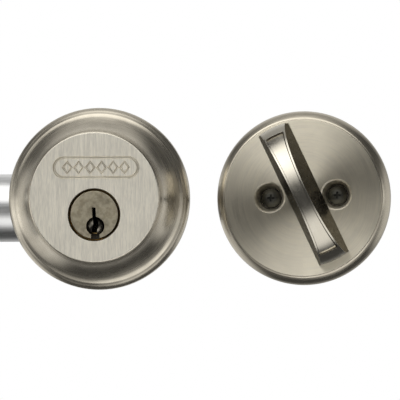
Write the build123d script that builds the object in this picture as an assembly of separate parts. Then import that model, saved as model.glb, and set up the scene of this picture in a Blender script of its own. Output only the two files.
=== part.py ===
from build123d import *
from math import cos, radians, sin, sqrt, tan
import os

# Single-cylinder deadbolt lock. Millimetres, +Z up.
# X runs along the door's face, Y runs into the door and the keyed side faces -Y.
# The origin is the centre of the outside housing, on the plane of the door's outer face.
# The inside half lies beside the outside half, facing the same way as it does.

# Door preparation
backset = 60.3
door_thickness = 44.45

# Axes: the key, tailpiece and cam turn about (0, plug_z)
plug_z = -6.4
bolt_z = -2.5
bolt_y = door_thickness / 2
post_spacing = 12.2
inside_x = 75.3
cup_z = 0.6
cup_tilt = 2.3
turn_x = 75.7
turn_z = 1.2

# Outside housing
housing_radius = 33.35
housing_depth = 19.0
face_radius = 24.0
face_edge = 0.4
ridge_radius = 31.3
ridge_depth = 5.4
cove_radius = 30.8
cove_depth = 5.0
rim_depth = 2.8
rim_bulge = 0.35
housing_wall = 2.5
housing_inner_face = 20.8
housing_inner_foot = 27.5
housing_inner_depth = 4.6
housing_mouth = 30.0
housing_hole = 9.6
boss_x = 14.5
boss_z = 8.0
boss_radius = 4.0
boss_overlap = 1.0
boss_floor = 2.0
emblem_z = 10.8
emblem_x = 0.7
emblem_length = 31.6
emblem_height = 7.7
emblem_line = 0.7
emblem_depth = 0.3
lozenge_count = 6
lozenge_pitch = 4.2
lozenge_width = 3.0
lozenge_height = 3.6

# Cylinder
body_front = -housing_depth + housing_wall + 0.1
body_back = 8.5
barrel_front_radius = 11.3
barrel_back_radius = 8.6
bible_front = -12.5
bible_back = 7.9
bible_front_half = 5.5
bible_back_half = 4.5
bible_top = 12.5
cap_strip_half = 2.2
cap_strip_thickness = 1.0
cap_strip_inset = 0.5
plate_front = -4.0
plate_thickness = 2.0
plate_radius = 26.0
drill_pin_x = 3.0
drill_pin_rise = 9.8
drill_pin_radius = 0.8
drill_pin_length = 6.0
drill_pin_gap = 0.2
shadow_ring_radius = 9.4
shadow_ring_back = -12.2
fit_gap = 0.05
loose_gap = 0.3
cut = 1.0

# Plug
core_radius = 6.35
head_radius = 8.75
head_front = -18.6
head_back = -14.5
plug_back = 10.5
bowl_radius = 3.6
bowl_x = 0.4
bowl_drop = 4.2
bowl_rise = 1.2
lip_slot_width = 3.2
lip_slot_top = -7.0
lip_slot_depth = 2.6

# Pin stacks
pin_count = 5
first_pin_y = -10.4
pin_pitch = 3.97
chamber_radius = 1.5
pin_radius = 1.45
chamber_floor = 1.2
key_pin_point = 0.6
key_pin_cone = 1.0
driver_foot = 6.47
driver_length = 4.4
key_pin_top = 6.1
key_pin_lengths = [3.9, 4.7, 3.6, 4.9, 4.2]
spring_radius = 1.15
spring_wire = 0.17
spring_pitch = 1.1

# Plug cap, lost-motion lugs and tailpiece
plug_cap_radius = 8.0
plug_cap_front = 8.7
plug_cap_lip = 13.4
plug_cap_back = 14.3
plug_cap_mouth = 4.4
plug_cap_play = 0.2
lug_inner = 3.6
lug_outer = 5.8
lug_half_angle = 15
lug_height = 1.4
plug_lug_angle = 90
tail_lug_angle = plug_lug_angle - 200
tail_disc_radius = 5.9
tail_disc_front = 12.1
tail_disc_back = 13.2
blade_width = 6.4
blade_thickness = 2.0
blade_end = 42.8
blade_gap = 0.15

# Threaded posts
post_radius = 3.2
post_end = 30.0
post_thread_radius = 2.05
post_thread_depth = 22.0

# Retainer screws
retainer_screw_length = 7.0
driver_slot_half = 0.5
driver_slot_depth = 0.9

# Bolt, at rest 18.3 mm out of the 25.4 mm full throw
full_throw = 25.4
quarter_turn = 90
rest_turn = 25
bolt_out = full_throw * (quarter_turn - rest_turn) / quarter_turn
bolt_radius = 11.1
bolt_half = 7.95
bolt_length = 38.0
bolt_nose_edge = 1.0
bolt_slot_half = 3.1
bolt_slot_depth = 7.6
roller_radius = 2.5
roller_length = 24.0
roller_gap = 0.2

# Bolt tube, plates and case
plate_sheet = 1.6
faceplate_width = 25.4
faceplate_height = 57.15
faceplate_corner = 6.3
faceplate_screws = 41.3
faceplate_hole = 2.2
faceplate_sink = 3.9
tube_radius = 12.5
tube_bore = 11.2
tube_back = -20.0
case_back = 22.3
case_half = 11.0
case_inner = 4.6
case_sheet = 1.2
flange_opening_drop = 9.0
hub_play = 0.08
post_play = 0.4
bolt_play = 0.25
sink_share = 0.7
rivet_radius = 1.5
rivet_head_radius = 2.4
rivet_head = 0.6
rivet_places = [(19.3, 8.0), (19.3, -8.0), (-16.2, -8.6)]

# Cam and bolt tail
cam_reach = full_throw / 2
cam_tip = 19.3
cam_half_width = 4.1
cam_slot_half = 2.35
cam_slot_start = 11.2
cam_plate_half = 1.2
cam_hub_radius = 4.6
tail_inner = 1.75
tail_outer = 2.95
tail_head_front = 4.2
tail_head_back = 2.9
tail_head_half = 2.7
tail_bar_low = 2.0
tail_bar_high = 7.0
tail_foot_back = 4.0
tail_foot_low = -6.5
tail_foot_high = 6.0
tail_web = 1.5
tail_step = 1.0
tail_shoulder = 4.0
drive_pin_radius = 1.2

# Inside rose and its hidden parts
rose_radius = 31.75
rose_depth = 6.5
plateau_radius = 28.75
bevel_radius = 29.05
bevel_depth = 5.9
bevel_bulge = 0.95
rose_edge_depth = 1.9
rose_inner_depth = 4.5
rose_mouth = 30.0
rose_inner_radius = 27.8
rose_inner_foot = 2.2
cup_radius = 5.75
cup_chamfer = 0.55
cup_wall_top = 5.1
cup_wall_bottom = 4.2
cup_outer = 6.3
cup_floor = 1.8
cup_back = 3.0
screw_hole = 2.3
screw_head_radius = 3.7
screw_head = 2.4
screw_radius = 2.0
screw_length = 22.0
recess_arm = 2.2
recess_half = 0.45
recess_depth = 1.2
backplate_front = -3.7
backplate_back = -2.2
backplate_radius = 27.0
bushing_radius = 5.0
bushing_flange = 5.4
washer_back = -1.7
clip_back = -0.9
clip_radius = 5.2
clip_groove = 3.4
clip_mouth = 0.7

# Thumbturn
turn_angle = -25.3
turn_half_width = 6.0
turn_end_radius = 26.6
turn_gap = 0.3
turn_top = 19.4
turn_end_play = 0.2
turn_draft = 10
spindle_radius = 4.0
spindle_end = -0.5
tenon_radius = 2.5
tenon_end = 1.0
hub_radius = 5.0
hub_end = 6.0
dish_depth = 1.2
dish_rim = 0.8
dish_reach = 22.9


def rod_y(x, z, radius, start, end):
    return Pos(x, (start + end) / 2, z) * Rot(90, 0, 0) * Cylinder(radius, end - start)


def rod_x(y, z, radius, start, end):
    return Pos((start + end) / 2, y, z) * Rot(0, 90, 0) * Cylinder(radius, end - start)


def block(x_span, y_span, z_span):
    spans = [x_span, y_span, z_span]
    middle = [(low + high) / 2 for low, high in spans]
    lengths = [high - low for low, high in spans]
    return Pos(*middle) * Box(*lengths)


def turned(edges, x=0, z=0):
    """A solid of revolution about the line through (x, z) along Y; points are (radius, y)."""
    return Pos(x, 0, z) * revolve(make_face(edges), Axis.Y)


def run(points):
    return Polyline(*points)


def slab_y(points, start, end):
    """A flat plate cut to an outline of (x, z) points, between two values of Y."""
    outline = make_face(Polyline(*points, close=True))
    standing = Rot(90, 0, 0) * extrude(outline, end - start)
    return Pos(0, end, 0) * standing


def about_axis(shape, angle, x=0, z=plug_z):
    """A shape drawn pointing up +Z is swung about the Y axis through (x, z), +Z towards +X."""
    return Pos(x, 0, z) * Rot(0, angle, 0) * shape


def sector(inner, outer, middle_angle, start, end):
    """A block shaped as part of a ring, for the lost-motion lugs."""
    ring = rod_y(0, 0, outer, start, end) - rod_y(0, 0, inner, start, end)
    reach = outer * 2
    spread = reach * tan(radians(lug_half_angle))
    wedge = slab_y([(0, 0), (spread, reach), (-spread, reach)], start, end)
    return about_axis(ring & wedge, middle_angle)


def pin_rows():
    return [first_pin_y + pin_pitch * number for number in range(pin_count)]


def upright(y, radius, low, high):
    """A round rod along Z above the plug's axis."""
    return Pos(0, y, plug_z + (low + high) / 2) * Cylinder(radius, high - low)


def save(shape, name):
    shape.label = name
    export_step(shape, "parts/" + name + ".step")


# Outside half

def emblem_cut():
    """A stadium outline and a row of small lozenges, sunk into the housing's face."""
    outline = SlotOverall(emblem_length, emblem_height)
    inner = SlotOverall(emblem_length - 2 * emblem_line, emblem_height - 2 * emblem_line)
    pattern = outline - inner
    first = -(lozenge_count - 1) / 2 * lozenge_pitch
    across = lozenge_width / 2
    tall = lozenge_height / 2
    for number in range(lozenge_count):
        lozenge = Polygon((across, 0), (0, tall), (-across, 0), (0, -tall))
        pattern += Pos(first + number * lozenge_pitch, 0) * lozenge
    standing = Rot(90, 0, 0) * extrude(pattern, emblem_depth)
    return Pos(emblem_x, -housing_depth + emblem_depth, emblem_z) * standing


def outside_housing():
    front = -housing_depth
    inner_front = front + housing_wall
    rim_middle = ((ridge_radius + housing_radius) / 2 + rim_bulge, -(ridge_depth + rim_depth) / 2 - rim_bulge)
    outer = [
        run([(0, 0), (0, front), (face_radius - face_edge, front), (face_radius, front + face_edge)]),
        TangentArc((face_radius, front + face_edge), (cove_radius, -cove_depth), tangent=(0, 1)),
        run([(cove_radius, -cove_depth), (ridge_radius, -ridge_depth)]),
        ThreePointArc((ridge_radius, -ridge_depth), rim_middle, (housing_radius, -rim_depth)),
        run([(housing_radius, -rim_depth), (housing_radius, 0), (0, 0)]),
    ]
    hollow = [
        run([
            (0, 0), (0, inner_front), (housing_inner_face, inner_front),
            (housing_inner_foot, -housing_inner_depth), (housing_mouth, -rim_depth), (housing_mouth, 0),
            (0, 0),
        ])
    ]
    shell = turned(outer) - turned(hollow)
    for side in (-1, 1):
        shell += rod_y(side * boss_x, boss_z, boss_radius, inner_front - boss_overlap, plate_front)
        shell -= rod_y(side * boss_x, boss_z, screw_radius, inner_front + boss_floor, plate_front)
    shell -= rod_y(0, plug_z, housing_hole, front - cut, inner_front + cut)
    return shell - emblem_cut()


def bible(half_width, start, end):
    return block((-half_width, half_width), (start, end), (plug_z, bible_top))


def cap_strip_space():
    span = (bible_front + cap_strip_inset, bible_back - cap_strip_inset)
    return block((-cap_strip_half, cap_strip_half), span, (bible_top - cap_strip_thickness, bible_top))


def drill_pins():
    start = body_front + drill_pin_gap
    z = plug_z + drill_pin_rise
    pins = []
    for side in (-1, 1):
        pins.append(rod_y(side * drill_pin_x, z, drill_pin_radius, start, start + drill_pin_length))
    return Compound(children=pins)


def shadow_ring():
    """A narrow, deep channel round the plug's head."""
    ring = rod_y(0, plug_z, shadow_ring_radius, body_front, shadow_ring_back)
    return ring - rod_y(0, plug_z, head_radius + fit_gap, body_front, shadow_ring_back)


def cylinder_body():
    body = rod_y(0, plug_z, barrel_front_radius, body_front, plate_front)
    body += rod_y(0, plug_z, barrel_back_radius, plate_front, body_back)
    body += bible(bible_front_half, bible_front, plate_front)
    body += bible(bible_back_half, plate_front, bible_back)
    body -= rod_y(0, plug_z, head_radius + fit_gap, body_front, head_back + fit_gap)
    body -= rod_y(0, plug_z, core_radius + fit_gap, body_front, body_back)
    body -= shadow_ring()
    for y in pin_rows():
        body -= upright(y, chamber_radius, core_radius - cut, bible_top - plug_z)
    bore_length = drill_pin_length + 2 * drill_pin_gap
    for side in (-1, 1):
        z = plug_z + drill_pin_rise
        body -= rod_y(side * drill_pin_x, z, drill_pin_radius + fit_gap, body_front, body_front + bore_length)
    return body - cap_strip_space()


def retainer_plate():
    plate_back = plate_front + plate_thickness
    plate = rod_y(0, 0, plate_radius, plate_front, plate_back)
    plate -= rod_y(0, plug_z, barrel_back_radius + fit_gap, plate_front, plate_back)
    half = bible_back_half + fit_gap
    plate -= block((-half, half), (plate_front, plate_back), (plug_z, bible_top + loose_gap))
    for side in (-1, 1):
        plate -= rod_y(side * post_spacing, plug_z, post_radius, plate_front, plate_back)
        plate -= rod_y(side * boss_x, boss_z, screw_radius + 2 * fit_gap, plate_front, plate_back)
    return plate


def retainer_screws():
    plate_back = plate_front + plate_thickness
    screws = []
    for side in (-1, 1):
        x = side * boss_x
        screw = rod_y(x, boss_z, screw_radius - fit_gap, plate_front - retainer_screw_length, plate_back)
        screw += rod_y(x, boss_z, screw_head_radius, plate_back, 0)
        slot_x = (x - driver_slot_half, x + driver_slot_half)
        slot_z = (boss_z - screw_head_radius, boss_z + screw_head_radius)
        screws.append(screw - block(slot_x, (-driver_slot_depth, 0), slot_z))
    return Compound(children=screws)


def threaded_posts():
    posts = []
    for side in (-1, 1):
        post = rod_y(side * post_spacing, plug_z, post_radius, plate_front, post_end)
        post -= rod_y(side * post_spacing, plug_z, post_thread_radius, post_end - post_thread_depth, post_end)
        posts.append(post)
    return Compound(children=posts)


def driver_pin(y):
    return upright(y, pin_radius, driver_foot, driver_foot + driver_length)


def key_pin(y, length):
    """A key pin with a blunt cone at its foot."""
    foot = key_pin_top - length
    shank = upright(y, pin_radius, foot + key_pin_cone, key_pin_top)
    cone = Pos(0, y, plug_z + foot + key_pin_cone / 2) * Cone(key_pin_point, pin_radius, key_pin_cone)
    return shank + cone


def pin_springs():
    low = driver_foot + driver_length + spring_wire + fit_gap
    high = bible_top - plug_z - cap_strip_thickness - spring_wire - fit_gap
    springs = []
    for y in pin_rows():
        path = Helix(spring_pitch, high - low, spring_radius)
        section = Plane(origin=path @ 0, z_dir=path % 0) * Circle(spring_wire)
        coil = sweep(section, path=path, is_frenet=True)
        springs.append(Pos(0, y, plug_z + low) * coil)
    return Compound(children=springs)


def keyway():
    """The key's slot: a leaning upper slot, a ward on its left and a wider foot."""
    points = [
        (-0.9, 2.7), (0.5, 2.6), (0.75, -0.9), (1.35, -2.4), (1.35, -4.6),
        (0.95, -5.2), (0.95, -6.9), (-1.0, -6.9), (-1.0, -4.4), (-0.6, -3.4), (-0.65, -0.9),
    ]
    return slab_y([(x, z + plug_z) for x, z in points], head_front - cut, plug_back + cut)


def plug():
    shape = rod_y(0, plug_z, head_radius, head_front, head_back)
    shape += rod_y(0, plug_z, core_radius, head_back, plug_back)
    for y in pin_rows():
        shape -= upright(y, chamber_radius, chamber_floor, core_radius + cut)
    shape -= keyway()
    shape -= Pos(bowl_x, head_front - bowl_rise, plug_z - bowl_drop) * Sphere(bowl_radius)
    shape -= block(
        (bowl_x - lip_slot_width / 2, bowl_x + lip_slot_width / 2),
        (head_front, head_front + lip_slot_depth),
        (plug_z - head_radius - cut, plug_z + lip_slot_top),
    )
    return shape + sector(lug_inner, lug_outer, plug_lug_angle, plug_back, plug_back + lug_height)


def plug_cap():
    cap = rod_y(0, plug_z, plug_cap_radius, plug_cap_front, plug_cap_back)
    cap -= rod_y(0, plug_z, core_radius, plug_cap_front, plug_back)
    cap -= rod_y(0, plug_z, tail_disc_radius + plug_cap_play, plug_back, plug_cap_lip)
    cap -= rod_y(0, plug_z, plug_cap_mouth, plug_cap_lip, plug_cap_back)
    return cap


def blade(gap, start, end):
    half_width = blade_width / 2 + gap
    half_thickness = blade_thickness / 2 + gap
    flat = block((-half_thickness, half_thickness), (start, end), (-half_width, half_width))
    return about_axis(flat, turn_angle_at_cam)


def tailpiece():
    disc = rod_y(0, plug_z, tail_disc_radius, tail_disc_front, tail_disc_back)
    lug = sector(lug_inner, lug_outer, tail_lug_angle, tail_disc_front - lug_height, tail_disc_front)
    return disc + lug + blade(0, tail_disc_back, blade_end)


# Bolt unit

# The cam's arm stands 45 degrees from vertical at each end of the bolt's travel.
turn_angle_at_cam = -(quarter_turn / 2 - rest_turn)
pin_x = full_throw / 2 - bolt_out
pin_z = plug_z + cam_reach
bolt_front = -backset - bolt_out
bolt_rear = bolt_front + bolt_length


def bolt_section(radius, half, start, end):
    """A round bar with two flats, along X."""
    bar = rod_x(bolt_y, bolt_z, radius, start, end)
    return bar & block((start, end), (bolt_y - half, bolt_y + half), (bolt_z - radius, bolt_z + radius))


def bolt():
    shape = bolt_section(bolt_radius, bolt_half, bolt_front, bolt_rear)
    shape = chamfer(shape.faces().sort_by(Axis.X)[0].edges(), bolt_nose_edge)
    slot_front = bolt_rear - bolt_slot_depth
    reach = bolt_radius + cut
    slot_y = (bolt_y - bolt_slot_half, bolt_y + bolt_slot_half)
    shape -= block((slot_front, bolt_rear), slot_y, (bolt_z - reach, bolt_z + reach))
    bore_front = slot_front - roller_length - 2 * roller_gap
    shape -= rod_x(bolt_y, bolt_z, roller_radius + fit_gap, bore_front, slot_front)
    return shape - tail_rivet()


def saw_guard_roller():
    slot_front = bolt_rear - bolt_slot_depth
    back = slot_front - roller_gap
    return rod_x(bolt_y, bolt_z, roller_radius, back - roller_length, back)


def tail_rivet():
    x = bolt_rear - bolt_slot_depth / 2
    half = bolt_half - roller_gap
    return rod_y(x, bolt_z, rivet_radius, bolt_y - half, bolt_y + half)


def bolt_tail():
    """Two cranked side plates joined by a web, from the bolt's rear slot to the cam's pin."""
    front = bolt_rear - bolt_slot_depth + roller_gap
    head_front = pin_x - tail_head_front
    head_back = pin_x + tail_head_back
    head_low = pin_z - tail_head_half
    head_high = pin_z + tail_head_half - 2 * fit_gap
    foot_back = bolt_rear + tail_foot_back
    foot_low = bolt_z + tail_foot_low
    foot_high = bolt_z + tail_foot_high
    outline = [
        (front, foot_low), (foot_back, foot_low), (foot_back + tail_shoulder, tail_bar_low),
        (head_front, tail_bar_low), (head_front + tail_step, head_low), (head_back, head_low),
        (head_back, head_high), (head_front + tail_step, head_high), (head_front, tail_bar_high),
        (foot_back + tail_shoulder, tail_bar_high), (foot_back, foot_high), (front, foot_high),
    ]
    tail = slab_y(outline, bolt_y - tail_outer, bolt_y - tail_inner)
    tail += slab_y(outline, bolt_y + tail_inner, bolt_y + tail_outer)
    web_y = (bolt_y - tail_outer, bolt_y + tail_outer)
    tail += block((front, front + tail_web), web_y, (foot_low, foot_high))
    return tail - tail_rivet() - drive_pin()


def drive_pin():
    return rod_y(pin_x, pin_z, drive_pin_radius, bolt_y - tail_outer, bolt_y + tail_outer)


def bolt_cam():
    """A hub on the tailpiece with a forked arm that holds the drive pin."""
    half = cam_half_width
    front = bolt_y - cam_plate_half
    back = bolt_y + cam_plate_half
    arm = slab_y([(-half, 0), (half, 0), (half, cam_tip), (-half, cam_tip)], front, back)
    width = cam_slot_half
    floor = cam_slot_start + width
    end = cam_tip + cut
    slot = slab_y([(-width, floor), (width, floor), (width, end), (-width, end)], front, back)
    slot += rod_y(0, floor, width, front, back)
    side = case_inner + case_sheet
    cam = about_axis(arm - slot, turn_angle_at_cam)
    cam += rod_y(0, plug_z, cam_hub_radius, bolt_y - side, bolt_y + side)
    return cam - blade(blade_gap, bolt_y - side, bolt_y + side)


def face_sheet(start, end, hole):
    """A round-cornered plate on the door's edge with the bolt's opening and two screw holes."""
    outline = RectangleRounded(faceplate_width, faceplate_height, faceplate_corner)
    sheet = Rot(0, 90, 0) * Rot(0, 0, 90) * extrude(outline, end - start)
    sheet = Pos(start, bolt_y, bolt_z) * sheet
    sheet -= bolt_section(bolt_radius + bolt_play, bolt_half + bolt_play, start, end)
    for side in (-1, 1):
        sheet -= rod_x(bolt_y, bolt_z + side * faceplate_screws / 2, hole, start, end)
    return sheet


def faceplate():
    start = -backset
    sheet = face_sheet(start, start + plate_sheet, faceplate_hole)
    for side in (-1, 1):
        depth = plate_sheet * sink_share
        z = bolt_z + side * faceplate_screws / 2
        sink = Rot(0, 90, 0) * Cone(faceplate_sink, faceplate_hole, depth)
        sheet -= Pos(start + depth / 2, bolt_y, z) * sink
    return sheet


def backplate():
    start = -backset + plate_sheet
    return face_sheet(start, start + plate_sheet, faceplate_hole)


def bolt_tube():
    front = -backset + 2 * plate_sheet
    tube = rod_x(bolt_y, bolt_z, tube_radius, front, tube_back)
    return tube - rod_x(bolt_y, bolt_z, tube_bore, front, tube_back)


def case_side(side):
    """One side plate of the case with half of the end flange that meets the tube."""
    inner = bolt_y + side * case_inner
    outer = bolt_y + side * (case_inner + case_sheet)
    start, end = sorted((inner, outer))
    plate = block((tube_back, case_back), (start, end), (bolt_z - case_half, bolt_z + case_half))
    flange_x = (tube_back, tube_back + case_sheet)
    flange = rod_x(bolt_y, bolt_z, tube_radius, *flange_x)
    flange_y = sorted((bolt_y, bolt_y + side * tube_radius))
    flange &= block(flange_x, flange_y, (bolt_z - tube_radius, bolt_z + tube_radius))
    opening_half = tail_outer + cut / 2
    opening_z = (bolt_z - flange_opening_drop, bolt_z + tube_radius)
    flange -= block(flange_x, (bolt_y - opening_half, bolt_y + opening_half), opening_z)
    shape = plate + flange
    near = bolt_y - tube_radius
    far = bolt_y + tube_radius
    shape -= rod_y(0, plug_z, cam_hub_radius + hub_play, near, far)
    for post in (-1, 1):
        shape -= rod_y(post * post_spacing, plug_z, post_radius + post_play, near, far)
    for x, z in rivet_places:
        shape -= rod_y(x, bolt_z + z, rivet_radius, near, far)
    return shape


def case_rivets():
    side = case_inner + case_sheet
    rivets = []
    for x, z in rivet_places:
        rivet = rod_y(x, bolt_z + z, rivet_radius, bolt_y - side, bolt_y + side)
        rivet += rod_y(x, bolt_z + z, rivet_head_radius, bolt_y - side - rivet_head, bolt_y - side)
        rivet += rod_y(x, bolt_z + z, rivet_head_radius, bolt_y + side, bolt_y + side + rivet_head)
        rivets.append(rivet)
    return Compound(children=rivets)


# Inside half

def cup_places():
    """The centres of the two cups, on a line that rises a little to the right."""
    across = post_spacing * cos(radians(cup_tilt))
    rise = post_spacing * sin(radians(cup_tilt))
    return [(inside_x + side * across, cup_z + side * rise) for side in (-1, 1)]


def cup_hollow(x, z):
    top = -rose_depth
    edges = run([
        (0, top - cut), (cup_radius, top - cut), (cup_radius, top), (cup_wall_top, top + cup_chamfer),
        (cup_wall_bottom, cup_floor), (0, cup_floor), (0, top - cut),
    ])
    return turned([edges], x, z)


def inside_rose():
    bevel_across = (rose_radius + bevel_radius) / 2 + bevel_bulge / sqrt(2)
    bevel_along = -(rose_edge_depth + bevel_depth) / 2 - bevel_bulge / sqrt(2)
    bevel_middle = (bevel_across, bevel_along)
    outer = [
        run([
            (0, 0), (0, -rose_depth), (plateau_radius, -rose_depth),
            (plateau_radius + 2 * fit_gap, -bevel_depth), (bevel_radius, -bevel_depth),
        ]),
        ThreePointArc((bevel_radius, -bevel_depth), bevel_middle, (rose_radius, -rose_edge_depth)),
        run([(rose_radius, -rose_edge_depth), (rose_radius, 0), (0, 0)]),
    ]
    hollow = [
        run([
            (0, 0), (0, -rose_inner_depth), (rose_inner_radius, -rose_inner_depth),
            (rose_mouth, -rose_inner_foot), (rose_mouth, 0), (0, 0),
        ])
    ]
    rose = turned(outer, inside_x) - turned(hollow, inside_x)
    for x, z in cup_places():
        rose += rod_y(x, z, cup_outer, -rose_inner_depth, cup_back)
    for x, z in cup_places():
        rose -= cup_hollow(x, z)
        rose -= rod_y(x, z, screw_hole, cup_floor - cut, cup_back)
    return rose - rod_y(turn_x, turn_z, bushing_radius, -rose_depth, 0)


def inside_backplate():
    plate = rod_y(inside_x, 0, backplate_radius, backplate_front, backplate_back)
    plate -= rod_y(turn_x, turn_z, spindle_radius + loose_gap, backplate_front, backplate_back)
    for x, z in cup_places():
        plate -= rod_y(x, z, cup_outer + 2 * fit_gap, backplate_front, backplate_back)
    return plate


def through_bolts():
    bolts = []
    for x, z in cup_places():
        screw = rod_y(x, z, screw_head_radius, cup_floor - screw_head, cup_floor)
        screw += rod_y(x, z, screw_radius, cup_floor, cup_floor + screw_length)
        recess_front = cup_floor - screw_head
        recess_y = (recess_front, recess_front + recess_depth)
        for half_x, half_z in ((recess_arm, recess_half), (recess_half, recess_arm)):
            screw -= block((x - half_x, x + half_x), recess_y, (z - half_z, z + half_z))
        bolts.append(screw)
    return Compound(children=bolts)


def thumbturn_bushing():
    sleeve = rod_y(turn_x, turn_z, bushing_radius, -rose_depth, backplate_front)
    sleeve += rod_y(turn_x, turn_z, bushing_flange, -rose_inner_depth, backplate_front)
    return sleeve - rod_y(turn_x, turn_z, spindle_radius + fit_gap, -rose_depth, backplate_front)


def turn_outline():
    """The thumbturn's foot: a bar with ends curved about its own axis."""
    corner = sqrt(turn_end_radius**2 - turn_half_width**2)
    side = turn_half_width
    edges = [
        Line((side, -corner), (side, corner)),
        ThreePointArc((side, corner), (0, turn_end_radius), (-side, corner)),
        Line((-side, corner), (-side, -corner)),
        ThreePointArc((-side, -corner), (0, -turn_end_radius), (side, -corner)),
    ]
    return make_face(edges)


def turn_arch(drop):
    """The fin's half-elliptical side profile, drawn as (y, z) and stretched across the bar."""
    profile = Ellipse(turn_top - drop, turn_end_radius + turn_end_play)
    return Rot(0, -90, 0) * Rot(0, 0, 90) * extrude(profile, turn_half_width, both=True)


def thumbturn():
    fin = Rot(90, 0, 0) * extrude(turn_outline(), turn_top, taper=turn_draft)
    dish_plan = offset(turn_outline(), amount=-dish_rim)
    dish = Rot(90, 0, 0) * extrude(dish_plan, turn_top, taper=turn_draft)
    dish &= block((-turn_half_width, turn_half_width), (-turn_top - cut, 0), (-dish_reach, dish_reach))
    fin = (fin & turn_arch(0)) - (dish - turn_arch(dish_depth))
    fin = about_axis(fin, turn_angle, turn_x, turn_z)
    fin = Pos(0, -rose_depth - turn_gap, 0) * fin
    fin += rod_y(turn_x, turn_z, spindle_radius, -rose_depth - turn_gap, spindle_end)
    fin += rod_y(turn_x, turn_z, tenon_radius, spindle_end, tenon_end)
    groove = rod_y(turn_x, turn_z, spindle_radius, washer_back, clip_back)
    groove -= rod_y(turn_x, turn_z, clip_groove, washer_back, clip_back)
    return fin - groove


def thumbturn_hub():
    hub = rod_y(turn_x, turn_z, hub_radius, spindle_end, hub_end)
    hub -= rod_y(turn_x, turn_z, tenon_radius, spindle_end, tenon_end)
    half_width = blade_width / 2 + blade_gap
    half_thickness = blade_thickness / 2 + blade_gap
    slot = block((-half_thickness, half_thickness), (tenon_end, hub_end), (-half_width, half_width))
    return hub - about_axis(slot, turn_angle, turn_x, turn_z)


def thumbturn_washer():
    ring = rod_y(turn_x, turn_z, clip_radius, backplate_back, washer_back)
    return ring - rod_y(turn_x, turn_z, spindle_radius, backplate_back, washer_back)


def thumbturn_clip():
    """An open spring ring in the spindle's groove."""
    ring = rod_y(turn_x, turn_z, clip_radius, washer_back, clip_back)
    ring -= rod_y(turn_x, turn_z, clip_groove, washer_back, clip_back)
    gap = clip_groove * clip_mouth
    mouth = block((turn_x - gap, turn_x + gap), (washer_back, clip_back), (turn_z - clip_radius, turn_z))
    return ring - mouth


def build():
    os.makedirs("parts", exist_ok=True)
    pieces = {
        "outside_housing": outside_housing(),
        "cylinder_body": cylinder_body(),
        "cylinder_retainer_plate": retainer_plate(),
        "retainer_screws": retainer_screws(),
        "threaded_posts": threaded_posts(),
        "anti_drill_pins": drill_pins(),
        "pin_springs": pin_springs(),
        "pin_chamber_cap": cap_strip_space(),
        "plug": plug(),
        "plug_cap": plug_cap(),
        "tailpiece": tailpiece(),
        "bolt_faceplate": faceplate(),
        "bolt_backplate": backplate(),
        "bolt_tube": bolt_tube(),
        "bolt_case_left": case_side(-1),
        "bolt_case_right": case_side(1),
        "case_rivets": case_rivets(),
        "bolt": bolt(),
        "bolt_tail": bolt_tail(),
        "bolt_tail_rivet": tail_rivet(),
        "bolt_drive_pin": drive_pin(),
        "saw_guard_roller": saw_guard_roller(),
        "bolt_cam": bolt_cam(),
        "inside_rose": inside_rose(),
        "inside_backplate": inside_backplate(),
        "through_bolts": through_bolts(),
        "thumbturn": thumbturn(),
        "thumbturn_bushing": thumbturn_bushing(),
        "thumbturn_hub": thumbturn_hub(),
        "thumbturn_washer": thumbturn_washer(),
        "thumbturn_clip": thumbturn_clip(),
    }
    for number, y in enumerate(pin_rows()):
        pieces["driver_pin_" + str(number + 1)] = driver_pin(y)
        pieces["key_pin_" + str(number + 1)] = key_pin(y, key_pin_lengths[number])
    for name, shape in pieces.items():
        save(shape, name)


build()
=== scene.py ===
from math import atan2, cos, pi, radians, sin, sqrt, tan

import bmesh
import bpy
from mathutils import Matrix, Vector


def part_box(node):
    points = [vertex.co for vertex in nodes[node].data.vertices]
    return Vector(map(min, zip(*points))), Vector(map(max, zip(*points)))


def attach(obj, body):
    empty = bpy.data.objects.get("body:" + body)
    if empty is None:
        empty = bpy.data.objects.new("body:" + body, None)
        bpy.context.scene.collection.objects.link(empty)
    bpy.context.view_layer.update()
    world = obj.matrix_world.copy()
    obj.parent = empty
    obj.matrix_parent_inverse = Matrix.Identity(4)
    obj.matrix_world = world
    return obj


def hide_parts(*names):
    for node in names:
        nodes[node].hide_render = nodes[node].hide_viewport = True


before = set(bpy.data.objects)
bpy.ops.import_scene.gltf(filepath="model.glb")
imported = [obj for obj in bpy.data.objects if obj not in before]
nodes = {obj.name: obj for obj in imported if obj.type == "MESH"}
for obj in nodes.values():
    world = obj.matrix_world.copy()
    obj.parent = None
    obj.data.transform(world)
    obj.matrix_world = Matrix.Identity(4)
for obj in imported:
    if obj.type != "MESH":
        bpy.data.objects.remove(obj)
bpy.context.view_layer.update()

# A satin-nickel deadbolt: keyed housing and bolt unit on the left, thumbturn half on the right.
# Lengths in the outlines are millimetres and mm turns them into metres.

mm = 0.001


def box_mm(node):
    low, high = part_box(node)
    return Vector(low) / mm, Vector(high) / mm


housing_low, housing_high = box_mm("outside_housing")
rose_low, rose_high = box_mm("inside_rose")
plug_low, plug_high = box_mm("plug")
turn_low, turn_high = box_mm("thumbturn")
bolts_low, bolts_high = box_mm("through_bolts")

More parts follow.
